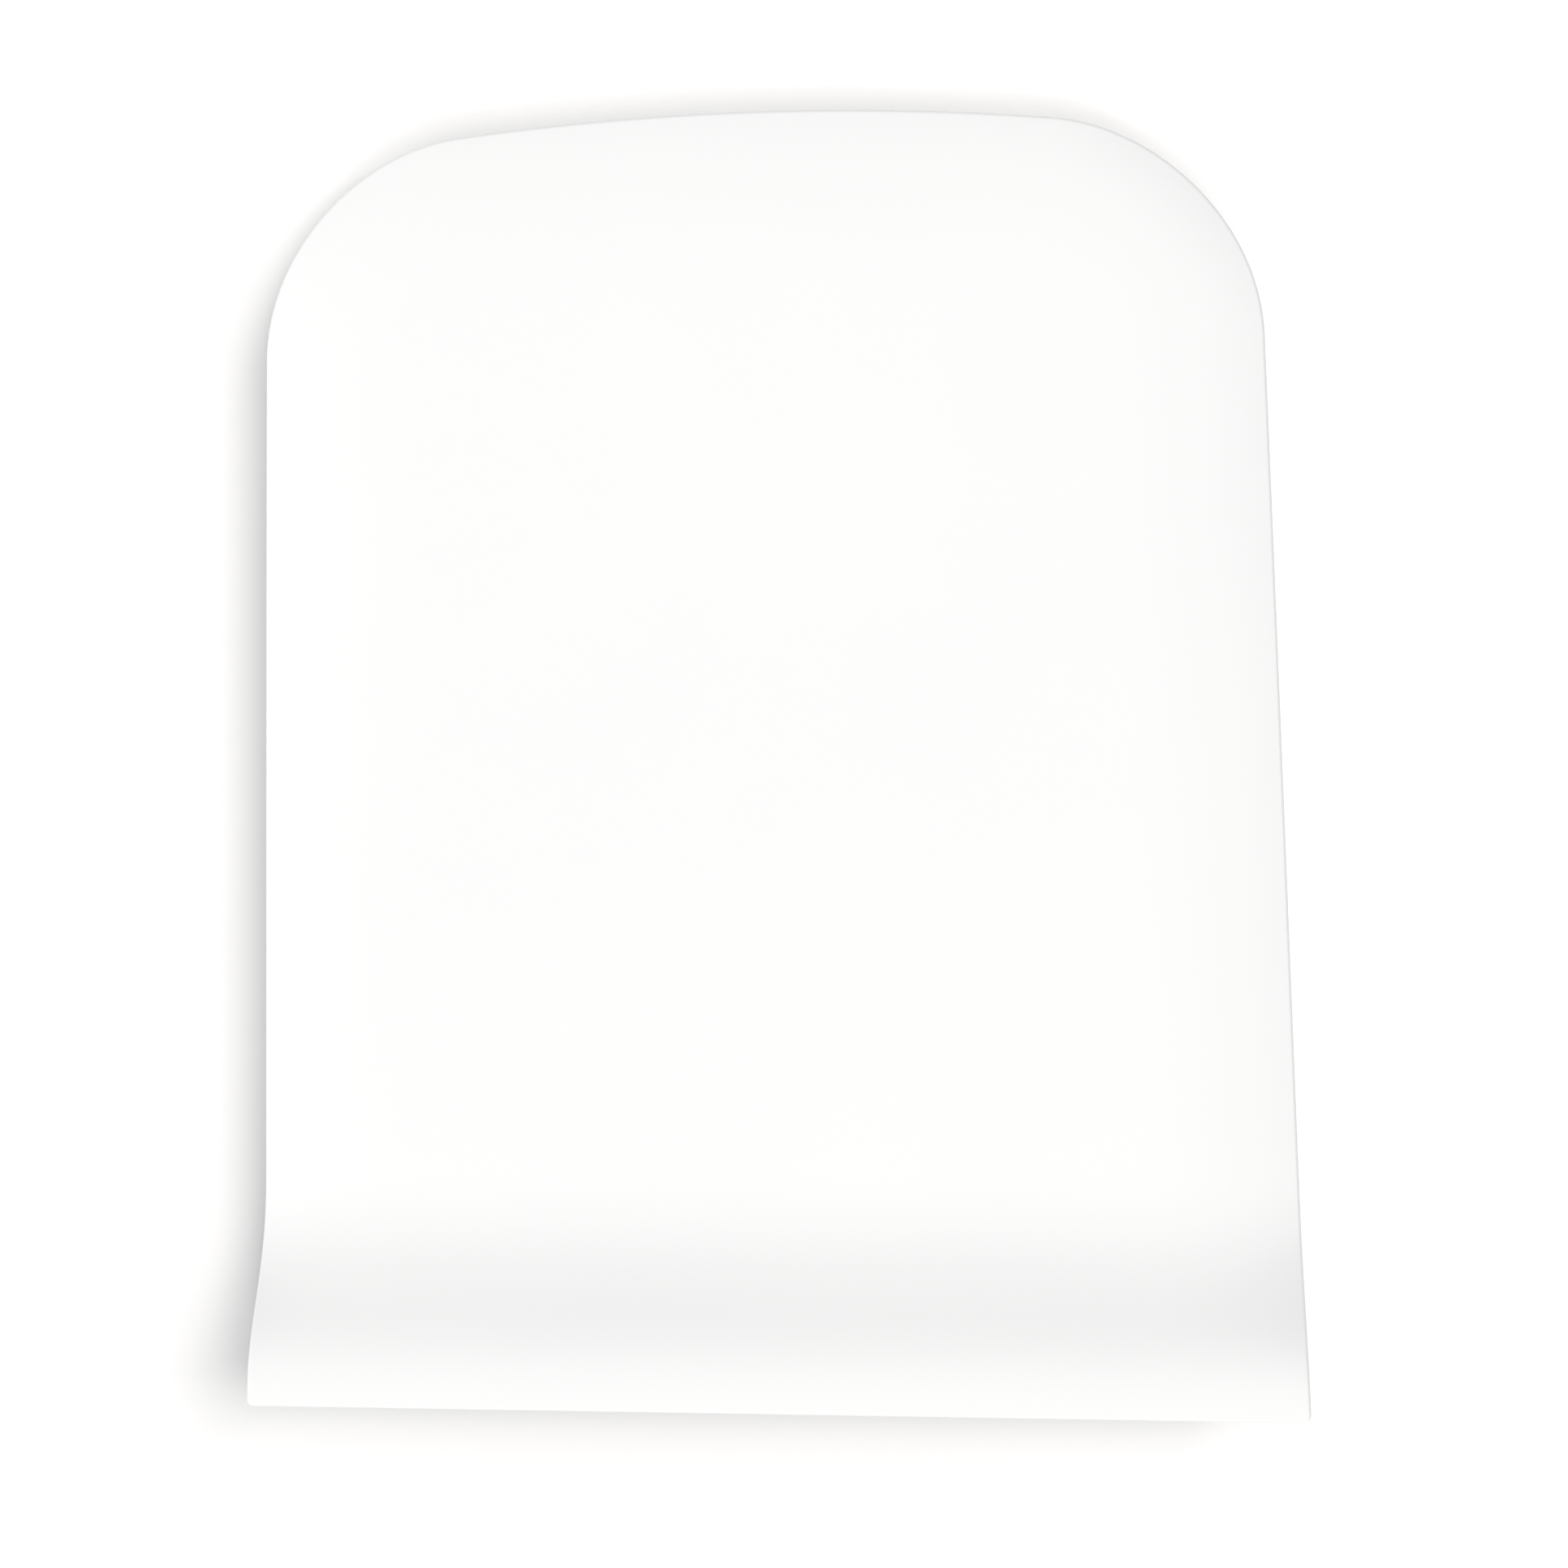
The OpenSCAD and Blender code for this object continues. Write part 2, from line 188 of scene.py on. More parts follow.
def bent(t, body_z, edge_z):
    """A height of the body, once the bend has carried it up to a height of the lip."""
    return body_z + (edge_z - body_z) * bend(t)


def rounding(d, radius):
    """Drop of a rounded edge at distance d from the edge."""
    reach = radius - np.clip(d, 0, radius)
    return radius - np.sqrt(radius ** 2 - reach ** 2)


def cover_top(u, t):
    side = side_distance(u, t)
    return bent(t, CROWN_H - droop(side), LIP_Z) - rounding(np.minimum(side, t), TOP_ROUND)


def cover_under(u, t):
    side = side_distance(u, t)
    body_z = CROWN_H - COVER_T - droop(np.minimum(side, RIM_W))
    return bent(t, body_z, LIP_Z - COVER_T) + rounding(np.minimum(side, t), UNDER_ROUND)


def ease(s):
    s = np.clip(s, 0, 1)
    return s * s * (3 - 2 * s)


INNER_FLAT_Z = CROWN_H - COVER_T - float(droop(RIM_W))
BLADE_TAIL_Z = blade_low.z / MM + BLADE_T


def blade_top(t):
    dive = ease((t - DIVE_START) / (DIVE_END - DIVE_START))
    return bent(t, INNER_FLAT_Z, LIP_Z - COVER_T) * (1 - dive) + BLADE_TAIL_Z * dive


def blade_under(t):
    return blade_top(t) - BEVEL_EDGE_T - (BLADE_T - BEVEL_EDGE_T) * np.minimum(t / BEVEL_L, 1)


# ---- Mesh builders ----

def new_object(name, points, faces):
    """A mesh object from points in millimetres."""
    mesh = bpy.data.meshes.new(name)
    mesh.from_pydata([tuple(p) for p in np.asarray(points, float) * MM], [], faces)
    obj = bpy.data.objects.new(name, mesh)
    bpy.context.scene.collection.objects.link(obj)
    return obj


def shade(obj, angle):
    """Smooth shading with edges sharper than the angle kept crisp."""
    for polygon in obj.data.polygons:
        polygon.use_smooth = True
    obj.data.set_sharp_from_angle(angle=math.radians(angle))


def sheet_solid(name, x, y, low, high, keep=None):
    """A solid between two heights over a grid of X and Y, with walls round the kept cells."""
    rows, cols = x.shape
    if keep is None:
        keep = np.ones((rows - 1, cols - 1), bool)
    upper = np.stack([x, y, high], -1).reshape(-1, 3)
    lower = np.stack([x, y, low], -1).reshape(-1, 3)
    under = rows * cols
    faces = []
    for k, i in zip(*np.nonzero(keep)):
        ring = (k * cols + i, k * cols + i + 1, (k + 1) * cols + i + 1, (k + 1) * cols + i)
        faces.append(ring)
        faces.append(tuple(p + under for p in reversed(ring)))
        for edge, (nk, ni) in enumerate(((k - 1, i), (k, i + 1), (k + 1, i), (k, i - 1))):
            inside = 0 <= nk < rows - 1 and 0 <= ni < cols - 1 and keep[nk, ni]
            if not inside:
                p, q = ring[edge], ring[(edge + 1) % 4]
                faces.append((q, p, p + under, q + under))
    used = sorted({p for f in faces for p in f})
    index = {p: n for n, p in enumerate(used)}
    points = np.concatenate([upper, lower])[used]
    return new_object(name, points, [tuple(index[p] for p in f) for f in faces])


def loft(name, rings, closed=False):
    """A solid through closed rings of points; its ends are capped unless it closes on itself."""
    count, n = len(rings), len(rings[0])
    points = np.concatenate(rings)
    faces = []
    for k in range(count if closed else count - 1):
        a, b = k * n, (k + 1) % count * n
        faces += [(a + i, a + (i + 1) % n, b + (i + 1) % n, b + i) for i in range(n)]
    if not closed:
        faces.append(tuple(reversed(range(n))))
        faces.append(tuple((count - 1) * n + i for i in range(n)))
    obj = new_object(name, points, faces)
    outward(obj)
    return obj


def outward(obj):
    """Turns all faces of a closed mesh outward."""
    bm = bmesh.new()
    bm.from_mesh(obj.data)
    bmesh.ops.recalc_face_normals(bm, faces=bm.faces)
    bm.to_mesh(obj.data)
    bm.free()


def cut(obj, cutters):
    """Takes the cutters out of obj and deletes them."""
    for cutter in cutters:
        modifier = obj.modifiers.new("cut", "BOOLEAN")
        modifier.operation = "DIFFERENCE"
        modifier.solver = "EXACT"
        modifier.object = cutter
    graph = bpy.context.evaluated_depsgraph_get()
    mesh = bpy.data.meshes.new_from_object(obj.evaluated_get(graph))
    obj.modifiers.clear()
    obj.data = mesh
    for cutter in cutters:
        bpy.data.objects.remove(cutter)


def round_panel(half_u, t0, t1, front_r, back_r, steps=24, edge_steps=40):
    """A round-cornered panel's outline in panel coordinates, anticlockwise."""
    outline = []
    corners = ((270, 1, front_r, t0 + front_r), (0, 1, back_r, t1 - back_r),
               (90, -1, back_r, t1 - back_r), (180, -1, front_r, t0 + front_r))
    for n, (start, side, radius, centre_t) in enumerate(corners):
        for i in range(steps + 1):
            a = math.radians(start + 90 * i / steps)
            outline.append((side * (half_u - radius) + radius * math.cos(a),
                            centre_t + radius * math.sin(a)))
        if n == 1:
            reach = half_u - back_r
            outline += [(reach * (1 - 2 * i / edge_steps), t1) for i in range(1, edge_steps)]
    return np.array(outline)


def inset_panel(d):
    """The base's outline, moved in from the cover's by d."""
    return round_panel(HALF_W - d, BASE_FRONT + d, LENGTH - d, BASE_FRONT_R - d, CORNER_R - d)


def at_height(outline, z):
    x, y = place(outline[:, 0], outline[:, 1])
    return np.stack([x, y, np.broadcast_to(z, x.shape)], -1)


def under_cover(outline, gap):
    return at_height(outline, cover_under(outline[:, 0], outline[:, 1]) - gap)


def prism(name, outline, z0, z1):
    return loft(name, [at_height(outline, z0), at_height(outline, z1)])


def across_prism(name, profile, width):
    """A profile of (t, z) points carried across the scraper."""
    profile = np.array(profile)
    sides = [np.stack([np.full(len(profile), x), profile[:, 0] + EDGE_Y, profile[:, 1]], -1)
             for x in (-width / 2, width / 2)]
    return loft(name, sides)


def lathe(name, profile, segments=64):
    """A solid turned about Z, from (radius, z) points that start and end on the axis."""
    angles = [2 * math.pi * i / segments for i in range(segments)]
    rings = [[(r * math.cos(a), r * math.sin(a), z) for a in angles] for r, z in profile[1:-1]]
    bottom, top = [(0, 0, profile[0][1])], [(0, 0, profile[-1][1])]
    points = bottom + [p for ring in rings for p in ring] + top
    faces = [(0, 1 + (i + 1) % segments, 1 + i) for i in range(segments)]
    for k in range(len(rings) - 1):
        a, b = 1 + k * segments, 1 + (k + 1) * segments
        faces += [(a + i, a + (i + 1) % segments, b + (i + 1) % segments, b + i)
                  for i in range(segments)]
    last = 1 + (len(rings) - 1) * segments
    faces += [(last + i, last + (i + 1) % segments, len(points) - 1) for i in range(segments)]
    obj = new_object(name, points, faces)
    outward(obj)
    return obj


# ---- Materials ----

class Material:
    """A node material with the few node chains that the finishes here need."""

    def __init__(self, name, base, roughness, **settings):
        self.data = bpy.data.materials.new(name)
        self.data.use_nodes = True
        self.nodes = self.data.node_tree.nodes
        self.links = self.data.node_tree.links
        self.shader = self.nodes["Principled BSDF"]
        self.shader.inputs["Base Color"].default_value = (*base, 1)
        self.shader.inputs["Roughness"].default_value = roughness
        for socket, value in settings.items():
            self.shader.inputs[socket.replace("_", " ")].default_value = value
        self.coordinates = self.nodes.new("ShaderNodeTexCoord").outputs["Object"]
        self.normal = None

    def noise(self, scale, detail, stretch=(1, 1, 1), roughness=0.5):
        """Noise of so many cells for each metre, stretched along an axis."""
        mapping = self.nodes.new("ShaderNodeMapping")
        mapping.inputs["Scale"].default_value = stretch
        self.links.new(self.coordinates, mapping.inputs["Vector"])
        noise = self.nodes.new("ShaderNodeTexNoise")
        noise.inputs["Scale"].default_value = scale
        noise.inputs["Detail"].default_value = detail
        noise.inputs["Roughness"].default_value = roughness
        self.links.new(mapping.outputs["Vector"], noise.inputs["Vector"])
        return noise.outputs["Fac"]

    def cells(self, scale):
        cells = self.nodes.new("ShaderNodeTexVoronoi")
        cells.inputs["Scale"].default_value = scale
        self.links.new(self.coordinates, cells.inputs["Vector"])
        return cells.outputs["Distance"]

    def spread(self, value, low, high):
        """Maps the middle part of a noise's values, where most of them lie, to a range."""
        node = self.nodes.new("ShaderNodeMapRange")
        node.inputs["From Min"].default_value = 0.3
        node.inputs["From Max"].default_value = 0.7
        node.inputs["To Min"].default_value = low
        node.inputs["To Max"].default_value = high
        self.links.new(value, node.inputs["Value"])
        return node.outputs["Result"]

    def colour(self, value, dark, light):
        mix = self.nodes.new("ShaderNodeMix")
        mix.data_type = "RGBA"
        mix.inputs["A"].default_value = (*dark, 1)
        mix.inputs["B"].default_value = (*light, 1)
        self.links.new(self.spread(value, 0, 1), mix.inputs["Factor"])
        self.links.new(mix.outputs["Result"], self.shader.inputs["Base Color"])

    def roughness(self, value, low, high):
        self.links.new(self.spread(value, low, high), self.shader.inputs["Roughness"])

    def bump(self, value, height_mm, strength=1.0):
        bump = self.nodes.new("ShaderNodeBump")
        bump.inputs["Strength"].default_value = strength
        bump.inputs["Distance"].default_value = height_mm * MM
        self.links.new(value, bump.inputs["Height"])
        if self.normal is not None:
            self.links.new(self.normal, bump.inputs["Normal"])
        self.normal = bump.outputs["Normal"]
        self.links.new(self.normal, self.shader.inputs["Normal"])


def gloss_white():
    """Smooth moulded plastic: a faint flow mottle, a slight orange peel and fine streaks."""
    m = Material("gloss_white", (0.86, 0.86, 0.86), 0.3, IOR=1.5)
    m.colour(m.noise(35, 4), (0.856, 0.857, 0.859), (0.866, 0.866, 0.866))
    m.roughness(m.noise(160, 6, roughness=0.6), 0.285, 0.33)
    m.bump(m.noise(450, 2), 0.004)
    m.bump(m.noise(3200, 2, stretch=(1, 0.12, 1)), 0.0008)
    return m.data


def textured_white(name, tone, roughness):
    """Moulded plastic with a fine spark-eroded texture."""
    light = (tone, tone, tone * 0.995)
    dark = tuple(c * 0.965 for c in light)
    m = Material(name, light, roughness, IOR=1.46)
    m.colour(m.noise(60, 4), dark, light)
    m.roughness(m.noise(900, 3), roughness - 0.05, roughness + 0.06)
    m.bump(m.noise(5200, 4, roughness=0.65), 0.022)
    return m.data


def brushed_steel(name, tone, stretch, roughness):
    """Steel with fine grinding marks along one axis and a little wear along them."""
    light = (tone, tone * 1.004, tone * 1.01)
    dark = tuple(c * 0.9 for c in light)
    m = Material(name, light, roughness, Metallic=1.0)
    grain = m.noise(5200, 5, stretch=stretch, roughness=0.7)
    m.colour(m.noise(1500, 4, stretch=stretch), dark, light)
    m.roughness(m.noise(700, 5, stretch=stretch), roughness - 0.04, roughness + 0.05)
    m.bump(grain, 0.006)
    return m.data


def rubber(name, tone, cell_scale):
    """Soft rubber with a fine pebble and a dusty mottle."""
    light = (tone, tone * 1.02, tone * 1.06)
    dark = tuple(c * 0.84 for c in light)
    m = Material(name, light, 0.7, IOR=1.45)
    m.colour(m.noise(180, 6, roughness=0.6), dark, light)
    m.roughness(m.noise(400, 4), 0.62, 0.8)
    m.bump(m.cells(cell_scale), 0.09, 0.9)
    m.bump(m.noise(4000, 3), 0.01)
    return m.data


def table_white():
    m = Material("table_white", (0.8, 0.8, 0.8), 0.6)
    m.colour(m.noise(6, 3), (0.795, 0.795, 0.796), (0.805, 0.805, 0.805))
    m.bump(m.noise(900, 3), 0.01)
    return m.data


COVER_WHITE = gloss_white()
BASE_WHITE = textured_white("base_white", 0.8, 0.5)
FRAME_WHITE = textured_white("frame_white", 0.72, 0.55)
BLADE_STEEL = brushed_steel("blade_steel", 0.62, (0.03, 1, 1), 0.34)
BEVEL_STEEL = brushed_steel("bevel_steel", 0.66, (1, 0.04, 0.04), 0.2)
CLAMP_STEEL = brushed_steel("clamp_steel", 0.55, (0.05, 1, 1), 0.4)
SCREW_STEEL = brushed_steel("screw_steel", 0.6, (1, 1, 1), 0.33)
SEAL_RUBBER = rubber("seal_rubber", 0.3, 2600)
PAD_RUBBER = rubber("pad_rubber", 0.27, 1500)


def finish_piece(obj, material, slot, *nodes):
    """Gives a piece its material and lets it stand for its CAD nodes."""
    obj.data.materials.clear()
    obj.data.materials.append(material)
    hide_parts(*nodes)
    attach(obj, "root")


def repaint(node, material):
    """A CAD node that stays gets its finish."""
    obj = frame["nodes"][node]
    obj.data.materials.clear()
    obj.data.materials.append(material)


# ---- Cover ----

def panel_rows(t0, t1, front_r, back_r, corner_steps, straight):
    """Distances t for a round-cornered panel, evenly spread round its corners."""
    angle = np.linspace(0, np.pi / 2, corner_steps + 1)
    front = t0 + front_r * (1 - np.cos(angle))
    back = t1 - back_r + back_r * np.sin(angle)
    return np.concatenate([front, straight, back])


def panel_half_width(t, half_u, t0, t1, front_r, back_r):
    """Half width of a round-cornered panel at t."""
    front = half_u - front_r + np.sqrt(np.maximum(0, front_r ** 2 - (t0 + front_r - t) ** 2))
    back = half_u - back_r + np.sqrt(np.maximum(0, back_r ** 2 - (t - t1 + back_r) ** 2))
    return np.where(t < t0 + front_r, front, np.where(t > t1 - back_r, back, half_u))


def rim_shares(steps, round_steps, radius, half_u):
    """Shares of the half width from -1 to 1, dense near the rim and round its rounded edge."""
    share = radius / half_u
    inner = (1 - share) * (1 - (1 - np.arange(steps + 1) / steps) ** 2)
    angle = np.linspace(0, np.pi / 2, round_steps + 1)[1:]
    half = np.concatenate([inner, 1 - share * (1 - np.sin(angle))])
    return np.concatenate([-half[:0:-1], half])


def cover():
    """The white cover: one skin with drooping borders, rounded edges and the turned-up lip."""
    round_angle = np.linspace(0, np.pi / 2, 8)
    round_rows = TOP_ROUND * (1 - np.cos(round_angle))
    corner_rows = np.linspace(TOP_ROUND, EDGE_CORNER_R, 4)[1:-1]
    bend_rows = np.linspace(EDGE_CORNER_R, BEND_END, 79)
    body_rows = np.linspace(BEND_END, BODY_END, 34)[1:-1]
    end_rows = BODY_END + CORNER_R * np.sin(np.linspace(0, np.pi / 2, 61))
    rows = np.concatenate([round_rows, corner_rows, bend_rows, body_rows, end_rows])
    half = panel_half_width(rows, HALF_W, 0, LENGTH, EDGE_CORNER_R, CORNER_R)
    shares = rim_shares(46, 7, TOP_ROUND, HALF_W)
    u = half[:, None] * shares[None, :]
    t = np.broadcast_to(rows[:, None], u.shape)
    x, y = place(u, t)
    obj = sheet_solid("cover", x, y, cover_under(u, t), cover_top(u, t))
    shade(obj, 50)
    finish_piece(obj, COVER_WHITE, "cover_white", "top_cover")


# ---- Blade ----

def blade():
    """The S-bent steel strip under the lip, ground to a bevel at the scraping edge."""
    rows = np.concatenate([[EDGE_INSET], np.linspace(0.4, BLADE_FRONT_L, 47),
                           np.linspace(BLADE_FRONT_L, TAIL_END, 71)[1:]])
    front = panel_half_width(rows, BLADE_W / 2, 0, BLADE_FRONT_L, 0, BLADE_CORNER_R)
    front = np.where(rows > BLADE_FRONT_L, front[rows == BLADE_FRONT_L], front)
    wing = np.linspace(0, 1, 13)[1:]
    middle = np.linspace(-TAIL_W / 2, TAIL_W / 2, 61)
    outer = TAIL_W / 2 + wing[None, :] * (front[:, None] - TAIL_W / 2)
    u = np.hstack([-outer[:, ::-1], np.broadcast_to(middle, (len(rows), len(middle))), outer])
    t = np.broadcast_to(rows[:, None], u.shape)
    keep = np.ones((u.shape[0] - 1, u.shape[1] - 1), bool)
    behind = rows[:-1] >= BLADE_FRONT_L
    keep[np.ix_(behind, np.arange(len(wing)))] = False
    keep[np.ix_(behind, np.arange(len(wing)) + len(wing) + len(middle) - 1)] = False
    x, y = place(u, t)
    obj = sheet_solid("blade_strip", x, y, blade_under(t), blade_top(t), keep)
    shade(obj, 6)
    finish_piece(obj, BLADE_STEEL, "blade_steel", "blade")
    obj.data.materials.append(BEVEL_STEEL)
    for polygon in obj.data.polygons:
        centre_t = polygon.center.y / MM - EDGE_Y
        polygon.material_index = int(centre_t < BEVEL_L and polygon.normal.z < -0.5)


# ---- Base shell, seal and grip pad ----

def belly(inset_low, inset_high, z_low, z_high, steps=24):
    """Insets and heights of the base's rounded wall, from the bottom up."""
    angle = np.linspace(0, np.pi / 2, steps + 1)
    return zip(inset_low - (inset_low - inset_high) * np.sin(angle),
               z_high - (z_high - z_low) * np.cos(angle))


def tail_opening(gap):
    """The part of the front wall that makes room for the blade's tail."""
    front, back, step = BASE_FRONT - 1, DIVE_END + 8, 0.5
    profile = [(t, float(blade_under(t)) - gap) for t in np.arange(front, back + step, step)]
    profile += [(back, ABOVE_ALL), (front, ABOVE_ALL)]
    return across_prism("opening", profile, TAIL_W + 2 * TAIL_GAP)


def screw_places():
    """X and Y of each shell screw's centre, from its CAD node."""
    boxes = [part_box(f"shell_screw_{n}") for n in range(1, SCREW_COUNT + 1)]
    return [((low.x + high.x) / 2 / MM, (low.y + high.y) / 2 / MM) for low, high in boxes]


def base():
    """The lower shell: a shallow tray with a rounded belly, a pocket and six screw seats."""
    floor_z = PAD_STAND + BASE_T
    below, above = -1, floor_z + 1        # cuts start and end clear of the floor
    outside = [at_height(inset_panel(d), z)
               for d, z in belly(BELLY_INSET, WALL_OUT, PAD_STAND, BELLY_TOP_Z)]
    inside = [at_height(inset_panel(d), z)
              for d, z in belly(BELLY_INSET, WALL_IN, floor_z, BELLY_TOP_Z)]
    lip = [under_cover(inset_panel(WALL_OUT), SEAL_T), under_cover(inset_panel(WALL_IN), SEAL_T)]
    obj = loft("base", outside + lip + inside[::-1])
    pocket = prism("pocket", round_panel(PAD_W / 2 + FIT_GAP, PAD_FRONT - FIT_GAP,
                                         PAD_BACK + FIT_GAP, PAD_FRONT_R + FIT_GAP,
                                         PAD_BACK_R + FIT_GAP), below, PAD_TOP_Z)
    mouth, shank = HEAD_D / 2 + FIT_GAP, SCREW_D / 2 + FIT_GAP
    seats = []
    for n, (x, y) in enumerate(screw_places()):
        seat = lathe(f"seat_{n}", [(0, below), (mouth, below), (mouth, PAD_STAND),
                                   (shank, PAD_STAND + HEAD_H), (shank, above), (0, above)])
        seat.location = (x * MM, y * MM, 0)
        seats.append(seat)
    cut(obj, [tail_opening(FIT_GAP), pocket, *seats])
    shade(obj, 30)
    finish_piece(obj, BASE_WHITE, "base_white", "base_shell")


def seal():
    """The rubber bead in the joint between the two shells, slightly crowned outside."""
    outer, inner = WALL_OUT + SEAL_MARGIN, WALL_IN - SEAL_MARGIN
    corner, shoulder = outer + 0.12, outer + 0.02
    section = [(inner, SEAL_T), (corner, SEAL_T), (shoulder, 0.8 * SEAL_T),
               (outer, 0.5 * SEAL_T), (shoulder, 0.2 * SEAL_T), (corner, 0), (inner, 0)]
    obj = loft("seal", [under_cover(inset_panel(d), gap) for d, gap in section], closed=True)
    front, back = 10, 30
    notch = across_prism("notch", [(front, 0), (back, 0), (back, ABOVE_ALL), (front, ABOVE_ALL)],
                         TAIL_W + 2 * TAIL_GAP)
    cut(obj, [notch])
    shade(obj, 40)
    finish_piece(obj, SEAL_RUBBER, "seal_rubber", "rim_seal")


def pad():
    """The grip pad: a soft panel with rounded edges and finger grooves on its lower face."""
    pitch = (PAD_BACK - PAD_FRONT - 2 * GROOVE_MARGIN) / (GROOVES - 1)
    centres = PAD_FRONT + GROOVE_MARGIN + pitch * np.arange(GROOVES)
    across_groove = np.linspace(-1.3, 1.3, 15)
    straight = np.concatenate([c + across_groove for c in centres])
    ends = panel_rows(PAD_FRONT, PAD_BACK, PAD_FRONT_R, PAD_BACK_R, 24, straight)
    edge = PAD_ROUND * (1 - np.cos(np.linspace(0, np.pi / 2, 6)))
    between = np.arange(PAD_FRONT, PAD_BACK, 1.0)
    rows = np.unique(np.round(np.concatenate(
        [ends, PAD_FRONT + edge, PAD_BACK - edge, between]), 3))
    shape = (PAD_W / 2, PAD_FRONT, PAD_BACK, PAD_FRONT_R, PAD_BACK_R)
    half = panel_half_width(rows, *shape)
    shares = rim_shares(36, 6, PAD_ROUND, PAD_W / 2)
    u = half[:, None] * shares[None, :]
    t = np.broadcast_to(rows[:, None], u.shape)
    beyond = np.maximum(np.abs(u) - GROOVE_L / 2, 0)
    nearest = np.min([np.hypot(beyond, t - c) for c in centres], axis=0)
    wall = (nearest - 0.25 * GROOVE_W) / (0.4 * GROOVE_W)
    rim = round_panel_distance(u, t, *shape)
    low = GROOVE_DEPTH * (1 - ease(wall)) + rounding(rim, PAD_ROUND)
    x, y = place(u, t)
    obj = sheet_solid("pad", x, y, low, np.full_like(x, PAD_TOP_Z))
    shade(obj, 50)
    finish_piece(obj, PAD_RUBBER, "pad_rubber", "grip_pad")


# ---- Screws ----

def cross_cutter(name):
    """A cross-head recess that narrows as it deepens."""
    length, width, depth, taper = 2.6, 0.62, 0.85, 0.55
    arms = []
    for n, turn in enumerate((0, 90)):
        bm = bmesh.new()
        bmesh.ops.create_cube(bm, size=1)
        for v in bm.verts:
            shrink = taper if v.co.z > 0 else 1.0
            v.co = Vector((v.co.x * length * shrink, v.co.y * width * shrink,
                           v.co.z * 2 * depth)) * MM
        mesh = bpy.data.meshes.new(f"{name}_{n}")
        bm.to_mesh(mesh)
        bm.free()
        arm = bpy.data.objects.new(f"{name}_{n}", mesh)
        arm.rotation_euler.z = math.radians(turn)
        bpy.context.scene.collection.objects.link(arm)
        arms.append(arm)
    return arms


def shell_screws():
    """Countersunk cross-head screws, each turned a little differently."""
    turn_step = 37
    length = (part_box("shell_screw_1")[1].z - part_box("shell_screw_1")[0].z) / MM
    r, rim = SCREW_D / 2, HEAD_D / 2
    rim_round, tip_l, tip_r = 0.12, 0.6, 0.5
    profile = [(0, 0), (rim - rim_round, 0), (rim - 0.25 * rim_round, 0.25 * rim_round),
               (rim, rim_round), (r + 0.1, HEAD_H), (r, HEAD_H + 0.15), (r, length - tip_l),
               (tip_r, length), (0, length)]
    for n, (x, y) in enumerate(screw_places(), start=1):
        obj = lathe(f"screw_{n}", profile)
        cut(obj, cross_cutter(f"cross_{n}"))
        turn = Matrix.Rotation(math.radians(turn_step * n), 4, "Z")
        obj.data.transform(Matrix.Translation((x * MM, y * MM, PAD_STAND * MM)) @ turn)
        shade(obj, 30)
        finish_piece(obj, SCREW_STEEL, "screw_steel", f"shell_screw_{n}")


cover()
blade()
base()
seal()
pad()
shell_screws()
repaint("core_frame", FRAME_WHITE)
repaint("blade_clamp_bar", CLAMP_STEEL)
for n in range(1, BLADE_SCREW_COUNT + 1):
    repaint(f"blade_screw_{n}", SCREW_STEEL)


# ---- Table, light and camera ----

def table():
    """A pale table top, far larger than the view and a hair under the pad's lower face."""
    reach, drop = 30000, 0.02
    corners = ((-1, -1), (1, -1), (1, 1), (-1, 1))
    obj = new_object("table", [(reach * x, reach * y, -drop) for x, y in corners], [(0, 1, 2, 3)])
    obj.data.materials.append(table_white())
    return obj


WARM_WHITE = (1.02, 1.0, 0.98)


def soft_box(name, tilt_x, tilt_y, distance, spread, power):
    """A square soft box overhead that faces the scraper, tilted from straight above.

    Its angles are degrees: the tilts towards +X and +Y, and how far it spreads to each side.
    """
    aim = Vector((math.tan(math.radians(tilt_x)), math.tan(math.radians(tilt_y)), 1))
    data = bpy.data.lights.new(name, "AREA")
    data.shape = "SQUARE"
    data.size = 2 * distance * math.tan(math.radians(spread))
    data.energy = power
    data.color = WARM_WHITE
    light = bpy.data.objects.new(name, data)
    light.location = aim.normalized() * distance
    light.rotation_mode = "QUATERNION"
    light.rotation_quaternion = (-aim).to_track_quat("-Z", "Y")
    bpy.context.scene.collection.objects.link(light)
    return light


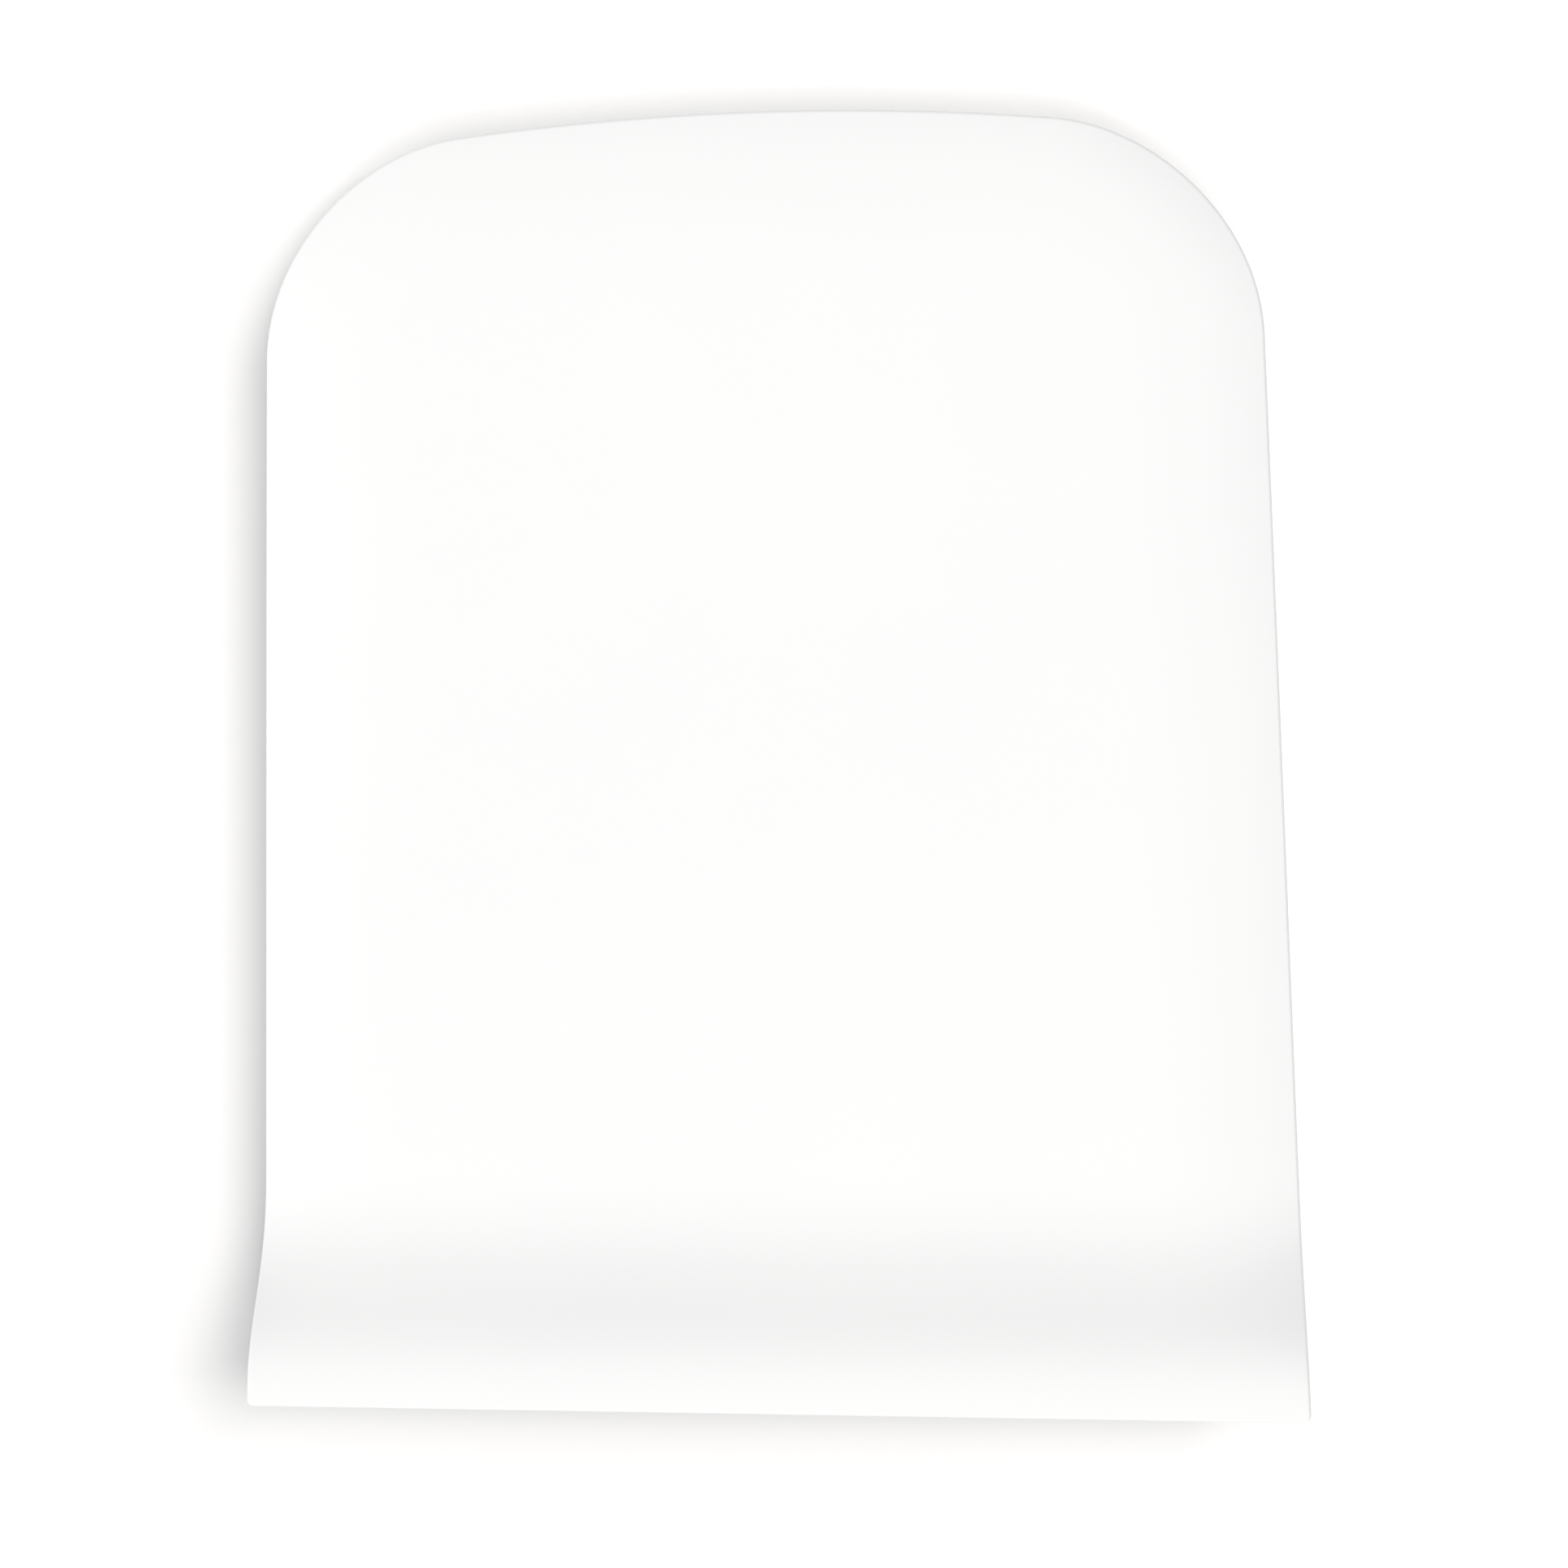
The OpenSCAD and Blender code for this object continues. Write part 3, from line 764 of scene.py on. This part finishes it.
def lights_only(light, obj, includes):
    """Makes a light reach only obj, or everything but obj; obj still casts shadows."""
    receivers = bpy.data.collections.new(f"{light.name}_receivers")
    receivers.objects.link(obj)
    receivers.collection_objects[0].light_linking.link_state = "INCLUDE" if includes else "EXCLUDE"
    light.light_linking.receiver_collection = receivers


def world(strength):
    data = bpy.data.worlds.new("studio")
    data.use_nodes = True
    background = data.node_tree.nodes["Background"]
    background.inputs["Color"].default_value = (0.98, 1, 1.02, 1)
    background.inputs["Strength"].default_value = strength
    bpy.context.scene.world = data


def camera():
    """Almost straight above, from a little to the right and towards the round end.

    The middle of the scraping edge, at the height of the sides' rims, is placed in the view:
    to the right, up and away from the camera by so much.
    """
    lens, distance = 68.94, 0.2977
    across, along, roll = (math.radians(a) for a in (-6.79, 4.83, 1.08))
    aim = Matrix.Rotation(along, 4, "X") @ Matrix.Rotation(across, 4, "Y") \
        @ Matrix.Rotation(roll, 4, "Z")
    rim_z = (CROWN_H - EDGE_DROOP - TOP_ROUND) * MM
    edge_middle = Matrix.Translation((0, EDGE_Y * MM, rim_z))
    right, up = -0.000775, -0.06059
    shift = Matrix.Translation((right, up, -distance))
    data = bpy.data.cameras.new("camera")
    data.sensor_width = 36
    data.lens = lens
    data.clip_start = 0.01
    obj = bpy.data.objects.new("camera", data)
    bpy.context.scene.collection.objects.link(obj)
    obj.matrix_world = edge_middle @ (shift @ aim).inverted()
    bpy.context.scene.camera = obj


# The table's shadow falls to the left and past both ends, though the object is lit from the
# left, so the object and the table each get lights of their own.
FLOOR_LIGHTS = ((28, 14, 13, 567), (6, -17, 9, 257))     # tilts, spread and power of each

floor = table()
world(strength=0.41)
key = soft_box("key", tilt_x=-18, tilt_y=-15, distance=3.0, spread=52, power=213)
lights_only(key, floor, includes=False)
for n, (tilt_x, tilt_y, spread, power) in enumerate(FLOOR_LIGHTS, start=1):
    light = soft_box(f"floor_light_{n}", tilt_x, tilt_y, 9.0, spread, power)
    lights_only(light, floor, includes=True)
camera()
bpy.context.scene.view_settings.view_transform = "Standard"
